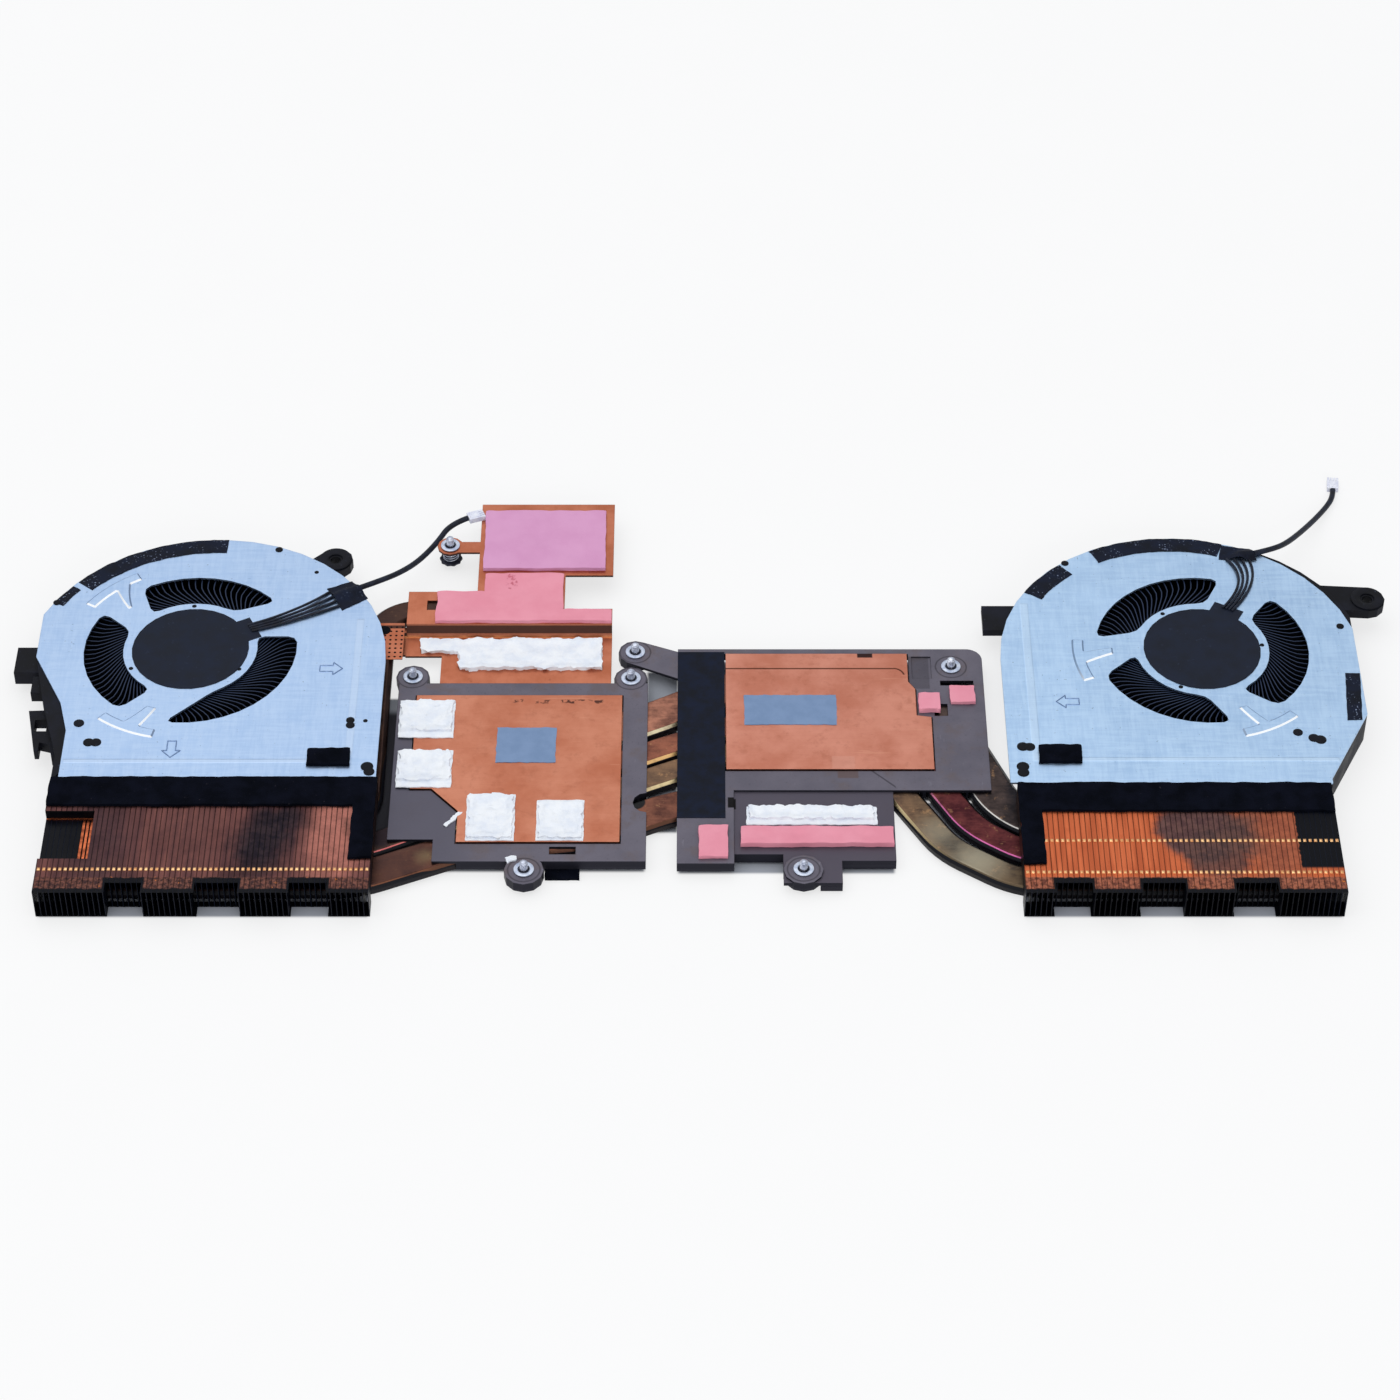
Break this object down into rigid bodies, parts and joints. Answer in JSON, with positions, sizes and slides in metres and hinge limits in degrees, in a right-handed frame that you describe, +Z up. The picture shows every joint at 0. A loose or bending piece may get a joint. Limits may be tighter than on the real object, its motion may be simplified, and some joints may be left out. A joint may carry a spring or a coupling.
{
  "type": "laptop cooling fan heatsink",
  "caption": "Laptop cooling assembly: blower fans, copper fin stacks, flat heat pipes, brackets with cold plates, thermal pads, spring-loaded captive screws and fan cables.",
  "frame": {"origin": "centre of the assembly without its cables, on the surface that it lies on", "axes": "+X along the length towards the fan with the loose cable, +Y from the fins to the back, +Z up out of the side that meets the motherboard"},
  "size_m": [0.3538, 0.1623, 0.0109],
  "materials": {
    "black_plastic": "fine moulded black",
    "fan_steel": "galvanised, fine scratches",
    "magnet": "matte",
    "screw_steel": "satin, dulled",
    "bearing_brass": "satin",
    "winding_steel": "coated laminations",
    "board": "matte",
    "cable_black": "matte",
    "plug_white": "matte",
    "label_dark": "matte film",
    "black_tape": "matte with dust",
    "black_foam": "foam",
    "copper": "copper, oxidised and scratched",
    "pipe_copper": "copper, heat-stained",
    "bracket_grey": "matte gunmetal",
    "die_film": "matte film",
    "putty_white": "matte, ragged",
    "pad_lilac": "matte, dented",
    "pad_pink": "matte, dented"
  },
  "bodies": {
    "base": {"bridge_tape": "black_tape", "cable_tapes": "black_tape", "cpu_bracket": "bracket_grey", "cpu_cold_plate": "copper", "cpu_front_spring": "screw_steel", "cpu_left_spring": "screw_steel", "cpu_right_spring": "screw_steel", "die_pads": "die_film", "fin_gaskets": "black_foam", "foam_blocks": "black_foam", "front_heat_pipe": "pipe_copper", "gpu_bracket": "bracket_grey", "gpu_cold_plate": "copper", "gpu_front_spring": "screw_steel", "gpu_left_spring": "screw_steel", "gpu_right_spring": "screw_steel", "hub_labels": "label_dark", "left_fan_bearing": "bearing_brass", "left_fan_cable": "cable_black", "left_fan_housing": "black_plastic", "left_fan_plate": "fan_steel", "left_fan_plug": "plug_white", "left_fan_wires": "cable_black", "left_fin_stack": "copper", "left_motor_board": "board", "left_stator": "winding_steel", "lilac_pad": "pad_lilac", "memory_putty": "putty_white", "middle_heat_pipe": "pipe_copper", "pink_pads": "pad_pink", "regulator_heat_pipe": "pipe_copper", "regulator_plate": "copper", "regulator_putty": "putty_white", "regulator_spring": "screw_steel", "right_fan_bearing": "bearing_brass", "right_fan_cable": "cable_black", "right_fan_housing": "black_plastic", "right_fan_plate": "fan_steel", "right_fan_plug": "plug_white", "right_fan_wires": "cable_black", "right_fin_stack": "copper", "right_motor_board": "board", "right_stator": "winding_steel", "rim_tapes": "black_tape", "shared_heat_pipe": "pipe_copper", "wide_heat_pipe": "pipe_copper"},
    "left_rotor": {"left_impeller": "black_plastic", "left_rotor_magnet": "magnet", "left_fan_shaft": "screw_steel"},
    "right_rotor": {"right_impeller": "black_plastic", "right_rotor_magnet": "magnet", "right_fan_shaft": "screw_steel"},
    "gpu_left_screw": {"gpu_left_screw": "screw_steel"},
    "gpu_right_screw": {"gpu_right_screw": "screw_steel"},
    "gpu_front_screw": {"gpu_front_screw": "screw_steel"},
    "cpu_left_screw": {"cpu_left_screw": "screw_steel"},
    "cpu_right_screw": {"cpu_right_screw": "screw_steel"},
    "cpu_front_screw": {"cpu_front_screw": "screw_steel"},
    "regulator_screw": {"regulator_screw": "screw_steel"}
  },
  "joints": [
    {"name": "left_impeller_spin", "type": "hinge", "parent": "base", "child": "left_rotor", "pos_m": [-0.1321, 0.0128, 0], "axis": [0, 0, 1], "continuous": true},
    {"name": "right_impeller_spin", "type": "hinge", "parent": "base", "child": "right_rotor", "pos_m": [0.1274, 0.0128, 0], "axis": [0, 0, 1], "continuous": true},
    {"name": "gpu_left_screw_slide", "type": "slide", "parent": "base", "child": "gpu_left_screw", "axis": [0, 0, 1], "range_m": [0, 0.001], "stiffness_N_per_m": 400, "deforming": ["gpu_left_spring"]},
    {"name": "gpu_right_screw_slide", "type": "slide", "parent": "base", "child": "gpu_right_screw", "axis": [0, 0, 1], "range_m": [0, 0.001], "stiffness_N_per_m": 400, "deforming": ["gpu_right_spring"]},
    {"name": "gpu_front_screw_slide", "type": "slide", "parent": "base", "child": "gpu_front_screw", "axis": [0, 0, 1], "range_m": [0, 0.001], "stiffness_N_per_m": 400, "deforming": ["gpu_front_spring"]},
    {"name": "cpu_left_screw_slide", "type": "slide", "parent": "base", "child": "cpu_left_screw", "axis": [0, 0, 1], "range_m": [0, 0.001], "stiffness_N_per_m": 400, "deforming": ["cpu_left_spring"]},
    {"name": "cpu_right_screw_slide", "type": "slide", "parent": "base", "child": "cpu_right_screw", "axis": [0, 0, 1], "range_m": [0, 0.001], "stiffness_N_per_m": 400, "deforming": ["cpu_right_spring"]},
    {"name": "cpu_front_screw_slide", "type": "slide", "parent": "base", "child": "cpu_front_screw", "axis": [0, 0, 1], "range_m": [0, 0.001], "stiffness_N_per_m": 400, "deforming": ["cpu_front_spring"]},
    {"name": "regulator_screw_slide", "type": "slide", "parent": "base", "child": "regulator_screw", "axis": [0, 0, 1], "range_m": [0, 0.001], "stiffness_N_per_m": 400, "deforming": ["regulator_spring"]}
  ]
}
